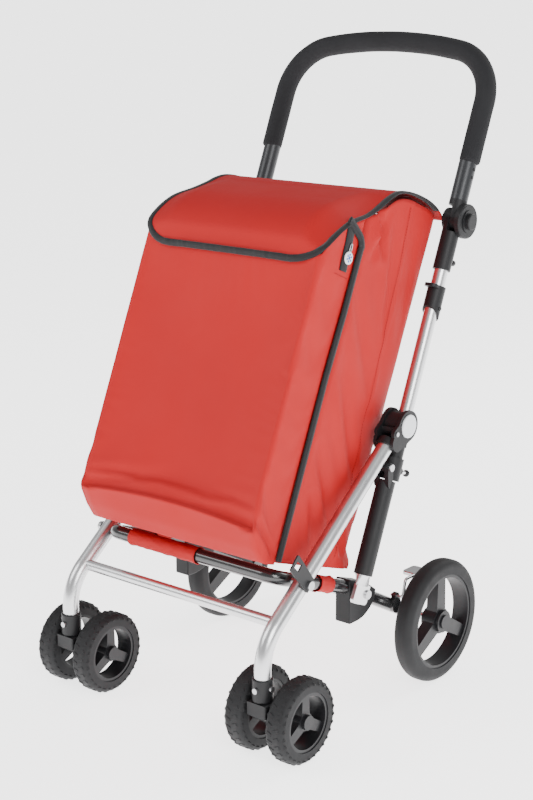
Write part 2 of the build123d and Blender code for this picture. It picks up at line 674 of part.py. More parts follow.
pocket_wall = 2.5
with BuildPart() as bag_pocket:
    plate(-bag_half, bag_half, slope_outline((218.7, pocket_back - 1), (216, 222), (265, pocket_front),
                                             (690, pocket_front), (742, 232), (756.6, pocket_back - 1)))
    inside = slope_outline((221.5, pocket_back - 1 + pocket_wall), (219.5, 221),
                           (266, pocket_front - pocket_wall), (850, pocket_front - pocket_wall),
                           (850, pocket_back - 1 + pocket_wall))
    plate(pocket_wall - bag_half, bag_half - pocket_wall, inside, mode=Mode.SUBTRACT)
finish(bag_pocket, "bag_pocket")

flap_half = bag_half + 4
with BuildPart() as bag_flap:
    plate(-flap_half, flap_half,
          slope_outline((798.2, 2), (798.2, 124.6), (758.4, 204.6), (743.4, 233.4), (691, 271.5),
                        (640, 271.5), (640, 274.5), (692.2, 274.5), (745.8, 235.5), (760.8, 206.8),
                        (801.4, 126), (801.4, 2)))
finish(bag_flap, "bag_flap")

with BuildPart() as zip_pull:
    joined_discs(bag_half + 0.6, bag_half + 3.0, on_slope(676, 212), 9.0, on_slope(694, 213), 3.0)
finish(zip_pull, "zip_pull")
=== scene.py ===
import bpy
import json
import math
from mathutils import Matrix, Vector, noise


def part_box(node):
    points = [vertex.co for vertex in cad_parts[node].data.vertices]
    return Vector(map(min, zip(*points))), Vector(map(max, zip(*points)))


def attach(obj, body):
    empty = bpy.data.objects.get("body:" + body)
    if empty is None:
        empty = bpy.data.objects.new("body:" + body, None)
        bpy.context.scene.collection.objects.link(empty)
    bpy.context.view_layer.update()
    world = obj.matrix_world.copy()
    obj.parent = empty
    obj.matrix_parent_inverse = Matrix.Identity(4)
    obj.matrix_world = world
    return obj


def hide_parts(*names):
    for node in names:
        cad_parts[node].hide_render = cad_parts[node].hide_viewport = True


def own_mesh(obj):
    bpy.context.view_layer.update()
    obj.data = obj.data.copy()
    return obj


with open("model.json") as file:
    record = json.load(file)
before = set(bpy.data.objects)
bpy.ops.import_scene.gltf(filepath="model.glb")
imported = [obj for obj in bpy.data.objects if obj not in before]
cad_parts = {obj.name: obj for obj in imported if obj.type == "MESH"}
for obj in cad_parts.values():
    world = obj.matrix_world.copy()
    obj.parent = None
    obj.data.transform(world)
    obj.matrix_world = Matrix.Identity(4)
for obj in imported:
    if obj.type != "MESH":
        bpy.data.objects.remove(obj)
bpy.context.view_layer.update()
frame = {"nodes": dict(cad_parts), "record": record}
joints = {j["name"]: j for j in frame["record"]["behaviour"]["joints"]}
SIDES = (("left", -1), ("right", 1))

# ---------------------------------------------------------------- the slope of the uprights
LEAN = math.atan(0.42)
SIN, COS = math.sin(LEAN), math.cos(LEAN)
JOINT_S, JOINT_N = 0.7995, -0.006
fold = joints["handle_fold"]["pos_m"]
FOOT_Y = fold[1] - JOINT_S * SIN + JOINT_N * COS
BAG_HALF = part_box("bag_shell")[1][0]


def at(x, s, n):
    """Point s up the uprights' line and n in front of it."""
    return Vector((x, FOOT_Y + s * SIN - n * COS, s * COS + n * SIN))


def smooth(t):
    """Ease from 0 to 1 as t goes from 0 to 1."""
    t = min(max(t, 0.0), 1.0)
    return t * t * (3 - 2 * t)


def along(points, t):
    """Value at t, read off the straight lines between (t, value) points."""
    if t <= points[0][0]:
        return points[0][1]
    for (t0, a), (t1, b) in zip(points, points[1:]):
        if t <= t1:
            return a + (b - a) * (t - t0) / (t1 - t0)
    return points[-1][1]


def spline(points, t):
    """Smooth curve through evenly spaced control points, t from 0 to 1."""
    last = len(points) - 1
    i = min(int(t * last), last - 1)
    u = t * last - i
    p = [points[min(max(k, 0), last)] for k in (i - 1, i, i + 1, i + 2)]
    out = []
    for a, b, c, d in zip(*p):
        out.append(0.5 * (2 * b + (c - a) * u + (2 * a - 5 * b + 4 * c - d) * u * u
                          + (3 * b - a - 3 * c + d) * u ** 3))
    return out


# ---------------------------------------------------------------- materials
def ramp_mix(tree, factor, dark, light):
    """Colour between dark and light, by a factor socket."""
    mix = tree.nodes.new("ShaderNodeMix")
    mix.data_type = "RGBA"
    mix.inputs[6].default_value = (*dark, 1)
    mix.inputs[7].default_value = (*light, 1)
    tree.links.new(factor, mix.inputs[0])
    return mix.outputs[2]


def noise_node(tree, where, scale, detail, stretch=None):
    """Noise from 0 to 1, its pattern stretched per axis if asked."""
    tex = tree.nodes.new("ShaderNodeTexNoise")
    tex.inputs["Scale"].default_value = scale
    tex.inputs["Detail"].default_value = detail
    if stretch:
        mapping = tree.nodes.new("ShaderNodeMapping")
        mapping.inputs["Scale"].default_value = stretch
        tree.links.new(where, mapping.inputs["Vector"])
        where = mapping.outputs["Vector"]
    tree.links.new(where, tex.inputs["Vector"])
    return tex.outputs["Fac"]


def material(name, dark, light, rough, metal=0.0, patch=18.0, grain=400.0, bump=0.1, depth=0.0004,
             stretch=None, weave=0.0, sheen=0.0, coat=0.0, pit=0.0):
    """A procedural finish: colour drifting between dark and light, rough as (low, high), and fine bumps."""
    mat = bpy.data.materials.new(name)
    mat.use_nodes = True
    tree = mat.node_tree
    shader = tree.nodes["Principled BSDF"]
    shader.inputs["Metallic"].default_value = metal
    shader.inputs["Specular IOR Level"].default_value = 0.5 if metal or coat else 0.3
    shader.inputs["Sheen Weight"].default_value = sheen
    shader.inputs["Coat Weight"].default_value = coat
    shader.inputs["Coat Roughness"].default_value = 0.08
    where = tree.nodes.new("ShaderNodeTexCoord").outputs["Object"]
    drift = noise_node(tree, where, patch, 4.0)
    tree.links.new(ramp_mix(tree, drift, dark, light), shader.inputs["Base Color"])
    span = tree.nodes.new("ShaderNodeMapRange")
    span.inputs["To Min"].default_value = rough[0]
    span.inputs["To Max"].default_value = rough[1]
    tree.links.new(noise_node(tree, where, patch * 3.1, 5.0), span.inputs["Value"])
    tree.links.new(span.outputs["Result"], shader.inputs["Roughness"])
    height = noise_node(tree, where, grain, 2.0, stretch)
    if weave:
        threads = []
        for direction in ("X", "Z"):
            wave = tree.nodes.new("ShaderNodeTexWave")
            wave.bands_direction = direction
            wave.inputs["Scale"].default_value = weave
            wave.inputs["Distortion"].default_value = 0.6
            tree.links.new(where, wave.inputs["Vector"])
            threads.append(wave.outputs["Fac"])
        add = tree.nodes.new("ShaderNodeMath")
        add.operation = "MAXIMUM"
        tree.links.new(threads[0], add.inputs[0])
        tree.links.new(threads[1], add.inputs[1])
        height = add.outputs[0]
    if pit:
        cells = tree.nodes.new("ShaderNodeTexVoronoi")
        cells.inputs["Scale"].default_value = pit
        tree.links.new(where, cells.inputs["Vector"])
        height = cells.outputs["Distance"]
    lift = tree.nodes.new("ShaderNodeBump")
    lift.inputs["Strength"].default_value = bump
    lift.inputs["Distance"].default_value = depth
    tree.links.new(height, lift.inputs["Height"])
    tree.links.new(lift.outputs["Normal"], shader.inputs["Normal"])
    return mat


RED_DARK, RED_LIGHT = (0.33, 0.0022, 0.0030), (0.42, 0.0034, 0.0042)
mats = {
    "fabric": material("bag_fabric", RED_DARK, RED_LIGHT, (0.62, 0.78), weave=260, bump=0.10, depth=0.0003,
                       patch=5.0),
    "lining": material("bag_lining", (0.16, 0.003, 0.003), (0.20, 0.004, 0.004), (0.8, 0.9), weave=200,
                       patch=6.0),
    "tape": material("binding_tape", (0.005, 0.005, 0.006), (0.009, 0.009, 0.010), (0.7, 0.85), weave=330,
                     bump=0.3, sheen=0.1),
    "thread": material("stitching", (0.016, 0.016, 0.018), (0.030, 0.030, 0.034), (0.6, 0.75), grain=900),
    "red_thread": material("red_stitching", (0.20, 0.003, 0.003), (0.26, 0.004, 0.004), (0.6, 0.75),
                           grain=900),
    "aluminium": material("tube_aluminium", (0.60, 0.60, 0.61), (0.70, 0.70, 0.71), (0.24, 0.34), metal=1.0,
                          grain=120, stretch=(1, 1, 0.06), bump=0.05, depth=0.0002),
    "black_tube": material("tube_black", (0.006, 0.006, 0.007), (0.012, 0.012, 0.013), (0.16, 0.26), coat=0.6,
                           grain=300, bump=0.03),
    "steel": material("steel", (0.42, 0.42, 0.43), (0.56, 0.56, 0.57), (0.25, 0.38), metal=1.0, grain=260,
                      bump=0.05),
    "chrome": material("chrome", (0.72, 0.72, 0.73), (0.80, 0.80, 0.81), (0.05, 0.12), metal=1.0, bump=0.02),
    "plastic": material("plastic_black", (0.006, 0.006, 0.007), (0.012, 0.012, 0.013), (0.42, 0.56),
                        grain=700, bump=0.12, depth=0.0003),
    "white": material("plastic_white", (0.72, 0.74, 0.76), (0.80, 0.82, 0.84), (0.22, 0.32), bump=0.03),
    "grey_tube": material("handle_grey", (0.018, 0.019, 0.021), (0.028, 0.029, 0.032), (0.30, 0.40),
                          metal=0.35, grain=500, bump=0.06),
    "foam": material("foam", (0.008, 0.008, 0.009), (0.015, 0.015, 0.017), (0.82, 0.94), pit=900, bump=0.5,
                     depth=0.0006),
    "tyre": material("tyre_rubber", (0.006, 0.006, 0.007), (0.013, 0.013, 0.014), (0.55, 0.75), grain=260,
                     bump=0.18, depth=0.0005),
    "hub": material("wheel_plastic", (0.008, 0.008, 0.009), (0.014, 0.014, 0.016), (0.34, 0.48), grain=600,
                    bump=0.1),
    "blue": material("snow_blue", (0.012, 0.10, 0.42), (0.02, 0.14, 0.50), (0.35, 0.45), bump=0.03),
}
SLOT_LOOK = {"tube_aluminium": "aluminium", "tube_black": "black_tube", "steel": "steel", "chrome": "chrome",
             "plastic_black": "plastic", "plastic_white": "white", "handle_grey": "grey_tube", "foam": "foam",
             "tyre_rubber": "tyre", "wheel_plastic": "hub", "bag_fabric": "fabric", "board": "plastic"}
DARK_SCREWS = ("frame_screws", "handle_screws")
for sub in frame["record"]["subparts"]:
    node = frame["nodes"][sub["node"]]
    node.data.materials.clear()
    look = "plastic" if sub["node"] in DARK_SCREWS else SLOT_LOOK[sub["material_slot"]]
    node.data.materials.append(mats[look])


# ---------------------------------------------------------------- mesh helpers
def piece(name, verts, faces, look, body, slot, smooth_shade=True):
    """A new mesh piece with a material, riding on a body; the slot argument is not used."""
    mesh = bpy.data.meshes.new(name)
    mesh.from_pydata([tuple(v) for v in verts], [], faces)
    mesh.update()
    obj = bpy.data.objects.new(name, mesh)
    bpy.context.scene.collection.objects.link(obj)
    mesh.materials.append(mats[look])
    if smooth_shade:
        mesh.polygons.foreach_set("use_smooth", [True] * len(mesh.polygons))
    if body:
        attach(obj, body)
    return obj


def tube(path, radius, sides=10, closed=False, flat=1.0, up=None):
    """Vertices and faces of a round or flattened cord along a path."""
    verts, faces = [], []
    count = len(path)
    for i, p in enumerate(path):
        a = path[(i - 1) % count] if closed or i else path[0]
        b = path[(i + 1) % count] if closed or i < count - 1 else path[-1]
        t = (b - a).normalized()
        ref = up[i] if up else Vector((1, 0, 0)) if abs(t.x) < 0.9 else Vector((0, 0, 1))
        side = t.cross(ref).normalized()
        rise = side.cross(t).normalized()
        for k in range(sides):
            angle = 2 * math.pi * k / sides
            verts.append(p + side * radius * math.cos(angle) + rise * radius * flat * math.sin(angle))
    last = count if closed else count - 1
    for i in range(last):
        for k in range(sides):
            j, m = (i + 1) % count, (k + 1) % sides
            faces.append((i * sides + k, i * sides + m, j * sides + m, j * sides + k))
    if not closed:
        faces.append(tuple(range(sides))[::-1])
        faces.append(tuple(range((count - 1) * sides, count * sides)))
    return verts, faces


def joined(parts):
    """Several (verts, faces) pairs as one."""
    verts, faces = [], []
    for v, f in parts:
        base = len(verts)
        verts += v
        faces += [tuple(i + base for i in face) for face in f]
    return verts, faces


def block(centre, x_dir, y_dir, z_dir, size, chamfer=0.2):
    """A small block with its top narrowed."""
    verts = []
    for z, k in ((0, 1.0), (1, 1.0 - chamfer)):
        for x, y in ((-1, -1), (1, -1), (1, 1), (-1, 1)):
            verts.append(centre + x_dir * x * size[0] * k / 2 + y_dir * y * size[1] * k / 2
                         + z_dir * z * size[2])
    faces = [(0, 3, 2, 1), (4, 5, 6, 7)] + [(i, (i + 1) % 4, (i + 1) % 4 + 4, i + 4) for i in range(4)]
    return verts, faces


def settle(obj, pinned, frames, colliders=(), gravity=1.0, stiffness=15.0, bend=0.5, shrink=0.0, mass=0.25):
    """Let the cloth hang for some frames and keep the shape it ends in."""
    group = obj.vertex_groups.new(name="pin")
    for index, weight in pinned.items():
        group.add([index], weight, "REPLACE")
    hits = []
    for other in colliders:
        hit = other.modifiers.new("hit", "COLLISION")
        other.collision.thickness_outer = 0.0015
        other.collision.cloth_friction = 8.0
        other.collision.use_culling = False
        hits.append((other, hit))
    cloth = obj.modifiers.new("cloth", "CLOTH")
    settings = cloth.settings
    settings.quality = 6
    settings.mass = mass
    settings.tension_stiffness = stiffness
    settings.compression_stiffness = stiffness
    settings.shear_stiffness = stiffness * 0.5
    settings.bending_stiffness = bend
    settings.tension_damping = 8
    settings.compression_damping = 8
    settings.air_damping = 4
    settings.shrink_min = shrink
    settings.vertex_group_mass = "pin"
    settings.pin_stiffness = 1.0
    settings.effector_weights.gravity = gravity
    cloth.collision_settings.use_collision = bool(colliders)
    cloth.collision_settings.distance_min = 0.0015
    cloth.point_cache.frame_start = 1
    cloth.point_cache.frame_end = frames
    scene = bpy.context.scene
    for number in range(1, frames + 1):
        scene.frame_set(number)
    shaped = obj.evaluated_get(bpy.context.evaluated_depsgraph_get())
    points = [v.co.copy() for v in shaped.data.vertices]
    obj.modifiers.remove(cloth)
    for other, hit in hits:
        other.modifiers.remove(hit)
    for vertex, point in zip(obj.data.vertices, points):
        vertex.co = point
    obj.data.update()
    scene.frame_set(1)


# ---------------------------------------------------------------- the bag
UP_DIR, FORE, OUT = Vector((0, SIN, COS)), Vector((0, -COS, SIN)), Vector((1, 0, 0))
SEAM_N = ((0.22, 0.194), (0.50, 0.192), (0.60, 0.187), (0.76, 0.185))   # how far forward the zips run
FRONT_N = 0.2705
MAIN_TOP = ((0.0, 0.793), (0.04, 0.8015), (0.09, 0.8005), (0.126, 0.7945), (0.17, 0.776), (0.205, 0.758))
POCKET_TOP = ((0.185, 0.766), (0.205, 0.756), (0.232, 0.738), (0.25, 0.721), (0.262, 0.702), (0.272, 0.680))
POCKET_LOW = ((0.190, 0.2215), (0.222, 0.219), (0.245, 0.236), (0.272, 0.2645))
DROOP = {-1: 0.010, 1: 0.022}      # how far the flap's front corners sink, each side
AROUND, UP, RINGS = 168, 84, 12


def rounded(half_x, n_back, n_front, r_back, r_front, t):
    """Point t (0 to 1) round a rectangle with rounded corners in (x, n), and its outward direction."""
    corners = ((half_x, n_back, r_back, -90), (half_x, n_front, r_front, 0), (-half_x, n_front, r_front, 90),
               (-half_x, n_back, r_back, 180))
    runs = []
    for i, (x, n, r, start) in enumerate(corners):
        cx = x - math.copysign(r, x)
        cn = n + r if n == n_back else n - r
        for turn in range(start, start + 91, 15):
            runs.append((cx + r * math.cos(math.radians(turn)), cn + r * math.sin(math.radians(turn)), turn))
    runs.append((runs[0][0], runs[0][1], 270))
    lengths = [math.hypot(b[0] - a[0], b[1] - a[1]) for a, b in zip(runs, runs[1:])]
    target = t * sum(lengths)
    for a, b, length in zip(runs, runs[1:], lengths):
        if target <= length:
            k = target / length if length else 0.0
            angle = math.radians(a[2] + (b[2] - a[2]) * k)
            return a[0] + (b[0] - a[0]) * k, a[1] + (b[1] - a[1]) * k, (math.cos(angle), math.sin(angle))
        target -= length
    return runs[0][0], runs[0][1], (0.0, -1.0)


def creases(x, s, n, seed, size):
    """Long soft folds running across the cloth."""
    low = noise.noise(Vector((x * 5 + seed, s * 4, n * 5)))
    fine = noise.noise(Vector((x * 14 + s * 9 + seed, s * 11 - n * 9, n * 14 + x * 5)))
    return size * (0.7 * low + 0.5 * fine * abs(fine))


def sink(x, forward):
    """How far the top edge gives way towards the sides."""
    return DROOP[-1 if x < 0 else 1] * smooth((abs(x) - 0.125) / 0.05) * forward


def groove(s, n, start, end, width, depth):
    """A crease pressed in along a line of (s, n) points on a side panel."""
    run = (end[0] - start[0], end[1] - start[1])
    size = run[0] ** 2 + run[1] ** 2
    k = min(max(((s - start[0]) * run[0] + (n - start[1]) * run[1]) / size, 0.0), 1.0)
    gap = math.hypot(s - start[0] - k * run[0], n - start[1] - k * run[1])
    side = (s - start[0]) * run[1] - (n - start[1]) * run[0]
    ridge = math.exp(-((gap - 1.6 * width) / width) ** 2) * (1 if side > 0 else 0.3)
    return depth * (0.7 * ridge - math.exp(-(gap / width) ** 2)) * math.sin(math.pi * (0.12 + 0.76 * k))


SIDE_FOLDS = (((0.772, 0.165), (0.705, 0.128), 0.0065, 0.010), ((0.760, 0.140), (0.690, 0.150), 0.007, 0.006),
              ((0.750, 0.110), (0.600, 0.075), 0.010, 0.004),
              ((0.640, 0.170), (0.520, 0.090), 0.014, 0.0035), ((0.520, 0.150), (0.380, 0.070), 0.014, 0.004),
              ((0.400, 0.165), (0.300, 0.085), 0.012, 0.005), ((0.330, 0.150), (0.255, 0.110), 0.009, 0.005),
              ((0.300, 0.060), (0.250, 0.030), 0.009, 0.004))
DARTS = (((0.275, 0.262), (0.236, 0.212), 0.0055, 0.008), ((0.330, 0.264), (0.262, 0.225), 0.010, 0.003))
REAR_SEAM = ((0.24, 0.052), (0.45, 0.062), (0.70, 0.076), (0.79, 0.084))


def main_point(t, v):
    """Main bag: v below 0 is the bottom, closing to its middle; above 0 the walls."""
    level = max(v, 0.0)
    inset = 1.0 + min(v, 0.0)
    s_mid = 0.235 + level * 0.56
    front = along(SEAM_N, s_mid)
    narrow = 0.004 * smooth((0.45 - s_mid) / 0.2)
    x, n, out = rounded(BAG_HALF + 0.001 - narrow, 0.004, front, 0.022, 0.012, t)
    n = 0.09 + (n - 0.09) * inset
    x = x * inset
    top = along(MAIN_TOP, n) - sink(x, smooth((n - 0.10) / 0.08))
    low = 0.2375 - 0.0145 * n / 0.2 + 0.004 * math.cos(x / BAG_HALF * 1.5) * (1 - inset)
    s = low + level * (top - low)
    belly = math.sin(math.pi * min(max(level * 1.02, 0.0), 1.0))
    swell = 0.0
    if inset == 1.0:
        if out[1] < -0.7:
            swell = (0.010 * belly * (1 - (x / BAG_HALF) ** 2)
                     - 0.018 * math.exp(-((s - 0.32) / 0.05) ** 2) * (1 - abs(x) / BAG_HALF)
                     + 0.008 * math.exp(-((s - 0.243) / 0.022) ** 2))
        elif abs(out[0]) > 0.7:
            swell = 0.002 * belly
            for start, end, width, depth in SIDE_FOLDS:
                swell += groove(s, n, start, end, width, depth)
            swell += 0.0022 * math.exp(-((n - along(REAR_SEAM, s)) / 0.0022) ** 2)
        swell += creases(x, s, n, 3.0, 0.005) * smooth(level * 6) * smooth((1 - level) * 8)
    return at(x + out[0] * swell, s, n + out[1] * swell)


def loft(name, point, look, slot):
    """Walls and a closed bottom from one point function."""
    verts, faces = [], []
    levels = [-1.0 + (k + 1) / RINGS for k in range(RINGS - 1)] + [k / UP for k in range(UP + 1)]
    for v in levels:
        for k in range(AROUND):
            verts.append(point(k / AROUND, v))
    for i in range(len(levels) - 1):
        for k in range(AROUND):
            m = (k + 1) % AROUND
            faces.append((i * AROUND + k, (i + 1) * AROUND + k, (i + 1) * AROUND + m, i * AROUND + m))
    centre = len(verts)
    middle = Vector((0, 0, 0))
    for k in range(AROUND):
        middle += verts[k]
    verts.append(middle / AROUND)
    for k in range(AROUND):
        faces.append((centre, k, (k + 1) % AROUND))
    return piece(name, verts, faces, look, None, slot)


def pocket_point(t, v):
    """Front pocket, with t and v as for the main bag."""
    level = max(v, 0.0)
    inset = 1.0 + min(v, 0.0)
    s_mid = 0.222 + level * 0.53
    back = along(SEAM_N, s_mid) + 0.002
    x, n, out = rounded(BAG_HALF + 0.0005, back, FRONT_N, 0.006, 0.007, t)
    n = 0.236 + (n - 0.236) * inset
    x = x * inset
    top = along(POCKET_TOP, n) - sink(x, 1.0)
    low = along(POCKET_LOW, n) + 0.011 * (1 - (x / BAG_HALF) ** 2) * smooth((n - 0.24) / 0.03)
    s = low + level * (top - low)
    swell = 0.0
    if inset == 1.0:
        if out[1] > 0.7:
            swell = 0.0015 * math.sin(math.pi * level) * (1 - (x / BAG_HALF) ** 2)
            swell += creases(x, s, n, 9.0, 0.0018) - 0.011 * (1 - smooth(level / 0.10)) ** 2
        elif abs(out[0]) > 0.7:
            swell = creases(x, s, n, 5.0, 0.002)
            for start, end, width, depth in DARTS:
                swell += groove(s, n, start, end, width, depth)
    return at(x + out[0] * swell, s, n + out[1] * swell)


def wall_pins(obj, edges):
    """Hold the rim, the bottom and the given corner lines, and let the panels between them give."""
    held = {}
    rows = RINGS - 1 + UP + 1
    for row in range(rows):
        level = (row - (RINGS - 1)) / UP
        for k in range(AROUND):
            index = row * AROUND + k
            hold = edges(k / AROUND, max(level, 0.0))
            if level > 0.97 or level < 0.015:
                held[index] = 1.0
            elif hold:
                held[index] = hold
    held[len(obj.data.vertices) - 1] = 1.0
    return held


def main_edges(t, level):
    """How firmly a point of the main bag is held: the part next to the zips is."""
    x, n, out = rounded(BAG_HALF, 0.004, along(SEAM_N, 0.235 + level * 0.56), 0.022, 0.012, t)
    return 1.0 if n > 0.17 else 0.0


def pocket_edges(t, level):
    """How firmly a point of the pocket is held: its zip side and its front corners are."""
    x, n, out = rounded(BAG_HALF, along(SEAM_N, 0.222 + level * 0.53) + 0.002, FRONT_N, 0.006, 0.007, t)
    corner = abs(x) > BAG_HALF - 0.004 and n > FRONT_N - 0.006
    return 1.0 if n < 0.200 else 0.9 if corner else 0.0


bag = loft("bag_main_cloth", main_point, "fabric", "bag_fabric")
pocket = loft("bag_pocket_cloth", pocket_point, "fabric", "bag_fabric")
settle(bag, wall_pins(bag, main_edges), 22, stiffness=20, bend=0.6, gravity=0.15, shrink=-0.004)
settle(pocket, wall_pins(pocket, pocket_edges), 22, stiffness=20, bend=1.2, gravity=0.15, shrink=-0.002)

# ---------------------------------------------------------------- the flap
FLAP_LINE = ((0.797, -0.003), (0.806, 0.012), (0.8125, 0.045), (0.8110, 0.090), (0.8020, 0.129),
             (0.7835, 0.168), (0.7640, 0.205), (0.7440, 0.236), (0.7180, 0.2600), (0.6900, 0.2735),
             (0.6680, 0.2745), (0.6500, 0.2745))
FLAP_HALF = BAG_HALF + 0.004
FLAP_CORNER = 0.055
FLAP_ACROSS, FLAP_LONG = 88, 96
FLAP_PINNED = 0.16      # the rear of the flap is held
FORMER_GAP = 0.0032     # a form just under the flap keeps its free part out of the bag's mouth


def flap_length():
    """Points along the flap's profile and the distance run at each."""
    pts = [spline(FLAP_LINE, k / 400) for k in range(401)]
    run = [0.0]
    for a, b in zip(pts, pts[1:]):
        run.append(run[-1] + math.hypot(b[0] - a[0], b[1] - a[1]))
    return pts, run


line_points, line_run = flap_length()
FLAP_RUN = line_run[-1]


def flap_profile(distance):
    """(s, n) at a distance along the flap from its rear edge."""
    distance = min(max(distance, 0.0), FLAP_RUN)
    for k in range(400):
        if distance <= line_run[k + 1]:
            u = (distance - line_run[k]) / (line_run[k + 1] - line_run[k])
            a, b = line_points[k], line_points[k + 1]
            return a[0] + (b[0] - a[0]) * u, a[1] + (b[1] - a[1]) * u
    return line_points[-1]


def flap_half(distance):
    """Half width of the flap, rounded in at its front corners."""
    left = FLAP_RUN - distance
    if left >= FLAP_CORNER:
        return FLAP_HALF
    return FLAP_HALF - FLAP_CORNER + math.sqrt(max(FLAP_CORNER ** 2 - (FLAP_CORNER - left) ** 2, 0.0))


def flap_point(u, d):
    """Point u (-1 to 1) across the flap, at distance d from its rear edge."""
    half = flap_half(d)
    x = u * half
    s, n = flap_profile(d)
    low = sink(x, smooth((d - 0.12) / 0.10) * smooth((FLAP_RUN + 0.02 - d) / 0.10))
    return at(x, s - low, n - 0.35 * low)


rows = sorted([FLAP_RUN * k / FLAP_LONG for k in range(FLAP_LONG)]
              + [FLAP_RUN - 0.0011, FLAP_RUN - 0.0003, FLAP_RUN])
verts = [flap_point(-1 + 2 * k / FLAP_ACROSS, d) for d in rows for k in range(FLAP_ACROSS + 1)]
wide = FLAP_ACROSS + 1
faces = [(i * wide + k, (i + 1) * wide + k, (i + 1) * wide + k + 1, i * wide + k + 1)
         for i in range(len(rows) - 1) for k in range(FLAP_ACROSS)]
if (verts[1] - verts[0]).cross(verts[wide] - verts[0]).dot(UP_DIR + FORE) > 0:
    faces = [face[::-1] for face in faces]
flap = piece("flap_cloth", verts, faces, "fabric", None, "bag_fabric")
pins = {}
for i, d in enumerate(rows):
    for k in range(wide):
        if d < FLAP_PINNED:
            pins[i * wide + k] = 1.0
flap.data.update()
former_verts = [v.co - v.normal * (FORMER_GAP if v.normal.dot(UP_DIR + FORE) > 0 else -FORMER_GAP)
                for v in flap.data.vertices]
former = piece("former", former_verts, faces, "fabric", None, None)
settle(flap, pins, 18, colliders=(former,), stiffness=25, bend=6.0)
bpy.data.objects.remove(former)

# Binding tape round the open edges of the flap.
co = [v.co.copy() for v in flap.data.vertices]
start_row = 6
edge_ids = [i * wide for i in range(start_row, len(rows))]
edge_ids += [(len(rows) - 1) * wide + k for k in range(1, wide)]
edge_ids += [i * wide + wide - 1 for i in range(len(rows) - 2, start_row - 1, -1)]
path = [co[i] for i in edge_ids]
verts, faces = [], []
TAPE = 0.0095
section = ((TAPE, 0.0007), (TAPE * 0.5, 0.0013), (0.0006, 0.0012), (-0.0013, -0.0008), (0.0006, -0.0027),
           (TAPE, -0.0022))
flap.data.update()
normals = [v.normal.copy() for v in flap.data.vertices]
ring = len(section)
for i, index in enumerate(edge_ids):
    a, b = path[max(i - 2, 0)], path[min(i + 2, len(path) - 1)]
    t = (b - a).normalized()
    up = normals[index]
    inward = up.cross(t).normalized()
    toward = (co[(index // wide) * wide + wide // 2] - path[i])
    if index // wide == len(rows) - 1:
        toward = co[index - 12 * wide] - path[i]
    if inward.dot(toward) < 0:
        inward = -inward
    up = t.cross(inward).normalized()
    if up.dot(normals[index]) < 0:
        up = -up
    for across, lift in section:
        verts.append(path[i] + inward * across + up * lift)
for i in range(len(edge_ids) - 1):
    for k in range(ring):
        m = (k + 1) % ring
        faces.append((i * ring + k, i * ring + m, (i + 1) * ring + m, (i + 1) * ring + k))
binding = piece("flap_binding", verts, faces, "tape", "flap", "bag_fabric")

# ---------------------------------------------------------------- zips and piping
soft = [bag, pocket, flap, binding]
PIPE_TOP = ((0.700, 0.1855), (0.711, 0.1930), (0.718, 0.2060), (0.724, 0.2190), (0.728, 0.2300))
ZIP_LOW, ZIP_HIGH, ZIP_STEPS = 0.226, 0.695, 110
ZIP_OUT, ZIP_HALF = 0.0030, 0.0068
TOOTH = (0.0012, 0.0030, 0.0009)
for side, sign in SIDES:
    run = []
    for k in range(ZIP_STEPS + 1):
        s = ZIP_LOW + (ZIP_HIGH - ZIP_LOW) * k / ZIP_STEPS
        run.append(at(sign * (BAG_HALF + ZIP_OUT), s, along(SEAM_N, s) + 0.001))
    run += [at(sign * (BAG_HALF + ZIP_OUT), *spline(PIPE_TOP, k / 16)) for k in range(17)]
    outward = [Vector((sign, 0, 0))] * len(run)
    soft.append(piece(f"zip_tape_{side}", *tube(run, ZIP_HALF, sides=8, flat=0.4, up=outward), "tape",
                      "frame", "bag_fabric"))
    teeth = []
    for a, b in zip(run, run[1:]):
        for k in (0.25, 0.75):
            spot = a.lerp(b, k) + Vector((sign * 0.0022, 0, 0))
            ahead = (b - a).normalized()
            teeth.append(block(spot, ahead, ahead.cross(Vector((sign, 0, 0))), Vector((sign, 0, 0)),
                               TOOTH))
    soft.append(piece(f"zip_teeth_{side}", *joined(teeth), "thread", "frame", "bag_fabric",
                      smooth_shade=False))

# The open end of the right zip, a strip of black tape beside the pull.
OPEN_ZIP = ((0.655, 0.2150), (0.672, 0.2155), (0.692, 0.2165), (0.712, 0.2185), (0.728, 0.2210))
run = [at(BAG_HALF + 0.0016, *spline(OPEN_ZIP, k / 24)) for k in range(25)]
soft.append(piece("pocket_zip", *tube(run, 0.0092, sides=8, flat=0.14, up=[Vector((1, 0, 0))] * len(run)),
                  "tape", "frame", "bag_fabric"))

# ---------------------------------------------------------------- zip pull with a snowflake
PULL_S, PULL_N, PULL_R, PULL_THICK = 0.676, 0.212, 0.0095, 0.0022
ARM, TWIG = (0.0011, 0.0068, 0.0004), (0.0009, 0.0026, 0.0004)
pull_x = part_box("zip_pull")[0][0] + 0.0022


def disc(centre, radius, thick, sides=40, dome=0.12):
    """A round button facing OUT with a softly rounded rim."""
    verts, faces = [], []
    rings = ((radius * (1 - dome), 0), (radius, thick * 0.25), (radius, thick * 0.75),
             (radius * (1 - dome), thick))
    for ring_r, lift in rings:
        for k in range(sides):
            angle = 2 * math.pi * k / sides
            verts.append(centre + UP_DIR * ring_r * math.cos(angle) + FORE * ring_r * math.sin(angle)
                         + OUT * lift)
    for i in range(3):
        for k in range(sides):
            m = (k + 1) % sides
            faces.append((i * sides + k, i * sides + m, (i + 1) * sides + m, (i + 1) * sides + k))
    faces.append(tuple(range(sides))[::-1])
    faces.append(tuple(range(3 * sides, 4 * sides)))
    return verts, faces


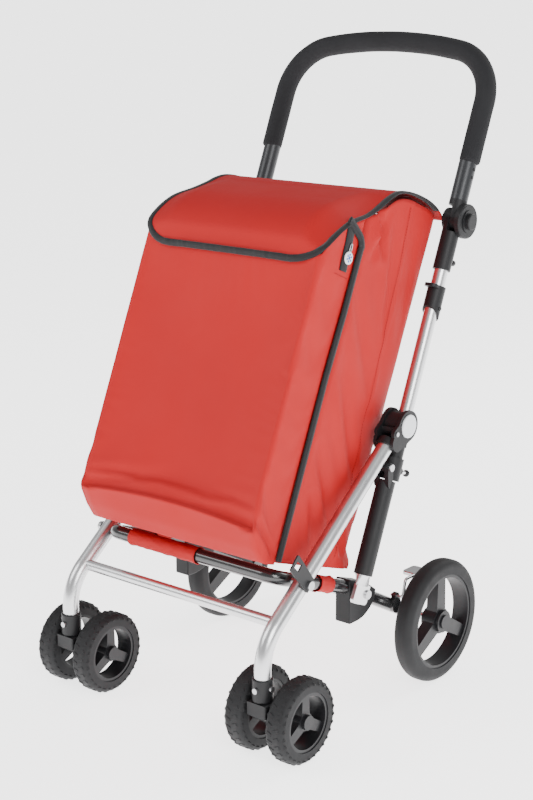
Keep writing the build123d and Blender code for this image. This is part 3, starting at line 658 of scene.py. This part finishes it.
pull_spot = at(pull_x, PULL_S, PULL_N)
pull = piece("pull_button", *disc(pull_spot, PULL_R, PULL_THICK), "white", "zip", "plastic_white")
loop_path = [at(pull_x + 0.001, PULL_S + PULL_R - 0.001 + 0.0065 * (1 - math.cos(a)),
                PULL_N + 0.0024 * math.sin(a))
             for a in [2 * math.pi * k / 28 for k in range(28)]]
loop = piece("pull_loop", *tube(loop_path, 0.0008, sides=6, closed=True), "steel", "zip", "plastic_white")
centre = pull_spot + OUT * PULL_THICK
flake = []
for arm in range(6):
    angle = math.radians(60 * arm)
    ray = UP_DIR * math.cos(angle) + FORE * math.sin(angle)
    flake.append(block(centre + ray * 0.0034, OUT.cross(ray), ray, OUT, ARM, 0.0))
    for turn in (-1, 1):
        twig = (ray + OUT.cross(ray) * turn).normalized()
        flake.append(block(centre + ray * 0.0040 + twig * 0.0012, OUT.cross(twig), twig, OUT, TWIG, 0.0))
snow = piece("pull_snowflake", *joined(flake), "blue", "zip", "plastic_white", smooth_shade=False)
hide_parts("zip_pull")
soft += [pull, loop, snow]

# ---------------------------------------------------------------- bottom board and sleeves of the platform
corners = [at(x, s, n) for s, n in ((0.239, 0.009), (0.243, 0.009), (0.2275, 0.194), (0.2235, 0.194))
           for x in (-0.15, 0.15)]
board = piece("bottom_board", corners, [(0, 1, 3, 2), (2, 3, 5, 4), (4, 5, 7, 6), (6, 7, 1, 0), (0, 2, 4, 6),
                                        (1, 7, 5, 3)], "lining", "frame", "board", smooth_shade=False)
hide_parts("bag_board")
soft.append(board)


def sleeve(start, end, radius, seed):
    """A fabric sleeve round a bar, a little loose and puckered."""
    verts, faces = [], []
    along_dir = (end - start).normalized()
    side = along_dir.orthogonal().normalized()
    rise = along_dir.cross(side)
    length = (end - start).length
    rings, round_count = max(int(length / 0.0035), 8), 40
    for i in range(rings + 1):
        k = i / rings
        hem = 0.0012 * (math.exp(-(k * length / 0.004) ** 2) + math.exp(-((1 - k) * length / 0.004) ** 2))
        for j in range(round_count):
            angle = 2 * math.pi * j / round_count
            pucker = 0.0016 * abs(noise.noise(Vector((k * length * 60 + seed, math.cos(angle) * 2,
                                                      math.sin(angle) * 2))))
            size = radius + pucker + hem
            verts.append(start + along_dir * length * k
                         + (side * math.cos(angle) + rise * math.sin(angle)) * size)
    for i in range(rings):
        for j in range(round_count):
            m = (j + 1) % round_count
            faces.append((i * round_count + j, i * round_count + m, (i + 1) * round_count + m,
                          (i + 1) * round_count + j))
    return verts, faces


BAR_Y, BAR_Z = -0.2173, 0.257
RAIL_X = 0.168
SLEEVE_R = 0.0122
SLEEVE_LEFT, SLEEVE_RIGHT = -0.118, 0.019
STRAP_FROM, STRAP_LONG = 0.098, 0.034
rail_dir = Vector((0, 0.187, -0.0698)).normalized()
straps = [sleeve(Vector((SLEEVE_LEFT, BAR_Y, BAR_Z)), Vector((SLEEVE_RIGHT, BAR_Y, BAR_Z)), SLEEVE_R, 1.0)]
for x in (-RAIL_X, RAIL_X):
    begin = Vector((x, BAR_Y, BAR_Z)) + rail_dir * STRAP_FROM
    straps.append(sleeve(begin, begin + rail_dir * STRAP_LONG, SLEEVE_R, 7.0 + x))
strap = piece("platform_sleeves", *joined(straps), "fabric", "platform", "bag_fabric")
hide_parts("platform_straps")

# ---------------------------------------------------------------- caster treads
LUGS = 30
for side, sign in SIDES:
    for place in ("inner", "outer"):
        low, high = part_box(f"caster_tyre_{side}_{place}")
        mid = Vector([(a + b) / 2 for a, b in zip(low, high)])
        radius = (high[2] - low[2]) / 2
        lugs = []
        for k in range(LUGS):
            for row, shift in ((-1, 0.0), (1, 0.5)):
                angle = 2 * math.pi * (k + shift) / LUGS
                radial = Vector((0, math.cos(angle), math.sin(angle)))
                around = Vector((row * 0.45, -math.sin(angle), math.cos(angle))).normalized()
                cross = radial.cross(around)
                spot = mid + radial * (radius - 0.0012) + Vector((row * 0.0062, 0, 0))
                lugs.append(block(spot, cross, around, radial, (0.0105, 0.0062, 0.0020), 0.25))
                shoulder = mid + radial * (radius - 0.0062) + Vector((row * 0.0150, 0, 0))
                slant = (radial + Vector((row * 0.9, 0, 0))).normalized()
                lugs.append(block(shoulder, slant.cross(around), around, slant,
                                  (0.0060, 0.0055, 0.0018), 0.25))
        piece(f"caster_tread_{side}_{place}", *joined(lugs), "tyre", f"caster_wheel_{side}_{place}",
              "tyre_rubber", smooth_shade=False)

# ---------------------------------------------------------------- foam grip
GRIP_X, GRIP_START, GRIP_BEND = 0.198, 0.8894, 0.9877
GRIP_CORNER, GRIP_TURN, CROWN = 0.085, math.radians(80), math.radians(20)
GRIP_R, BARE_R, GRIP_END = 0.0164, 0.0122, 0.006
crown_r = (GRIP_X - GRIP_CORNER * (1 - math.cos(GRIP_TURN))) / math.sin(CROWN / 2)


def grip_path():
    """The U of the grip in (x, s), evenly stepped up one side and down the other."""
    pts = [(GRIP_X, GRIP_START + (GRIP_BEND - GRIP_START) * (k / 40)) for k in range(40)]
    x, s, heading = GRIP_X, GRIP_BEND, math.pi / 2
    for r, turn in ((GRIP_CORNER, GRIP_TURN), (crown_r, CROWN), (GRIP_CORNER, GRIP_TURN)):
        cx, cs = x - r * math.sin(heading), s + r * math.cos(heading)
        steps = max(int(r * turn / 0.0028), 8)
        for k in range(steps):
            a = heading + turn * k / steps
            pts.append((cx + r * math.sin(a), cs - r * math.cos(a)))
        heading += turn
        x, s = cx + r * math.sin(heading), cs - r * math.cos(heading)
    pts += [(-GRIP_X, GRIP_BEND + (GRIP_START - GRIP_BEND) * (k / 40)) for k in range(41)]
    return [at(x, s, 0.0) for x, s in pts]


path = grip_path()
reach = [0.0]
for a, b in zip(path, path[1:]):
    reach.append(reach[-1] + (b - a).length)
verts, faces = [], []
GRIP_ROUND = 44
for i, p in enumerate(path):
    ahead = (path[min(i + 1, len(path) - 1)] - path[max(i - 1, 0)]).normalized()
    side_dir = ahead.cross(FORE).normalized()
    left = min(reach[i], reach[-1] - reach[i])
    ease = math.sqrt(max(1 - (1 - min(left / GRIP_END, 1.0)) ** 2, 0.0))
    for k in range(GRIP_ROUND):
        angle = 2 * math.pi * k / GRIP_ROUND
        spread = side_dir * math.cos(angle) + FORE * math.sin(angle)
        soft_r = BARE_R + (GRIP_R - BARE_R) * ease + 0.0003 * noise.noise(p * 30 + spread)
        verts.append(p + spread * soft_r)
for i in range(len(path) - 1):
    for k in range(GRIP_ROUND):
        m = (k + 1) % GRIP_ROUND
        faces.append((i * GRIP_ROUND + k, i * GRIP_ROUND + m, (i + 1) * GRIP_ROUND + m,
                      (i + 1) * GRIP_ROUND + k))
grip = piece("grip_sleeve", verts, faces, "foam", "handle", "foam")
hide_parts("grip_foam")

# ---------------------------------------------------------------- stitching
def stitches(name, cloth, points, look, pitch=0.0034, body="frame"):
    """A row of short thread bars lying on the cloth along the points."""
    spots, blocks = [points[0]], []
    for a, b in zip(points, points[1:]):
        steps = max(int((b - a).length / pitch), 1)
        spots += [a.lerp(b, (k + 1) / steps) for k in range(steps)]
    for a, b in zip(spots, spots[1:]):
        found, spot, normal, _ = cloth.closest_point_on_mesh(a.lerp(b, 0.5))
        ahead = (b - a) - normal * (b - a).dot(normal)
        if not found or ahead.length < 1e-6:
            continue
        ahead = ahead.normalized()
        blocks.append(block(spot + normal * 0.0003, ahead, normal.cross(ahead), normal,
                            (pitch * 0.68, 0.0007, 0.0007)))
    soft.append(piece(name, *joined(blocks), look, body, "bag_fabric", smooth_shade=False))


for side, sign in SIDES:
    line = [at(sign * (BAG_HALF + 0.002), 0.25 + 0.0135 * k, along(REAR_SEAM, 0.25 + 0.0135 * k) + 0.004)
            for k in range(41)]
    stitches(f"side_stitching_{side}", bag, line, "red_thread")
patch_line = [at(BAG_HALF + 0.002, 0.6475, 0.1985), at(BAG_HALF + 0.002, 0.6475, 0.2340)]
stitches("pocket_stitching", pocket, patch_line, "red_thread", 0.0030)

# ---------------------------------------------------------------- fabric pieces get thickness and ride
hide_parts("bag_shell")
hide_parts("bag_pocket")
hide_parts("bag_flap")
for obj, thickness in ((flap, 0.0016), (bag, 0.0012), (pocket, 0.0012), (strap, 0.0010)):
    wall = obj.modifiers.new("thickness", "SOLIDIFY")
    wall.thickness = thickness
    wall.offset = -1
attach(bag, "frame")
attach(pocket, "frame")
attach(flap, "flap")
for obj in soft:
    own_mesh(obj)

# ---------------------------------------------------------------- floor, lights and camera
floor_mesh = bpy.data.meshes.new("floor")
FLOOR = 400.0
floor_mesh.from_pydata([(-FLOOR, -FLOOR, 0), (FLOOR, -FLOOR, 0), (FLOOR, FLOOR, 0), (-FLOOR, FLOOR, 0)], [],
                       [(0, 1, 2, 3)])
floor = bpy.data.objects.new("floor", floor_mesh)
bpy.context.scene.collection.objects.link(floor)
floor_mesh.materials.append(material("floor_pale", (0.88, 0.88, 0.88), (0.91, 0.91, 0.91), (0.75, 0.85),
                                     bump=0.0, patch=2.0))
glow = floor_mesh.materials[0].node_tree.nodes["Principled BSDF"]
glow.inputs["Emission Color"].default_value = (1, 1, 1, 1)
glow.inputs["Emission Strength"].default_value = 2.6
world = bpy.data.worlds.new("studio")
world.use_nodes = True
world.node_tree.nodes["Background"].inputs["Color"].default_value = (1.0, 1.0, 1.0, 1)
world.node_tree.nodes["Background"].inputs["Strength"].default_value = 0.62
bpy.context.scene.world = world
# name, place, watts, side of the square
LIGHTS = (("key", (-1.6, -2.2, 2.4), 42, 1.6), ("fill", (2.4, -1.4, 1.8), 60, 1.5),
          ("back", (0.6, 2.2, 2.2), 40, 1.6))
for name, spot, watts, size in LIGHTS:
    data = bpy.data.lights.new(name, "AREA")
    data.energy = watts
    data.size = size
    lamp = bpy.data.objects.new(name, data)
    lamp.location = spot
    lamp.rotation_euler = (Vector((0, 0, 0.5)) - Vector(spot)).to_track_quat("-Z", "Y").to_euler()
    bpy.context.scene.collection.objects.link(lamp)

eye = bpy.data.cameras.new("camera")
eye.lens = 73.97
eye.sensor_width = 36.0
eye.clip_end = 900
camera = bpy.data.objects.new("camera", eye)
camera.location = (1.5867, -1.9509, 1.0939)
look_along = Vector((-0.6183, 0.7461, -0.2471))
camera.rotation_euler = look_along.to_track_quat("-Z", "Y").to_euler()
bpy.context.scene.collection.objects.link(camera)
bpy.context.scene.camera = camera

bpy.context.view_layer.update()
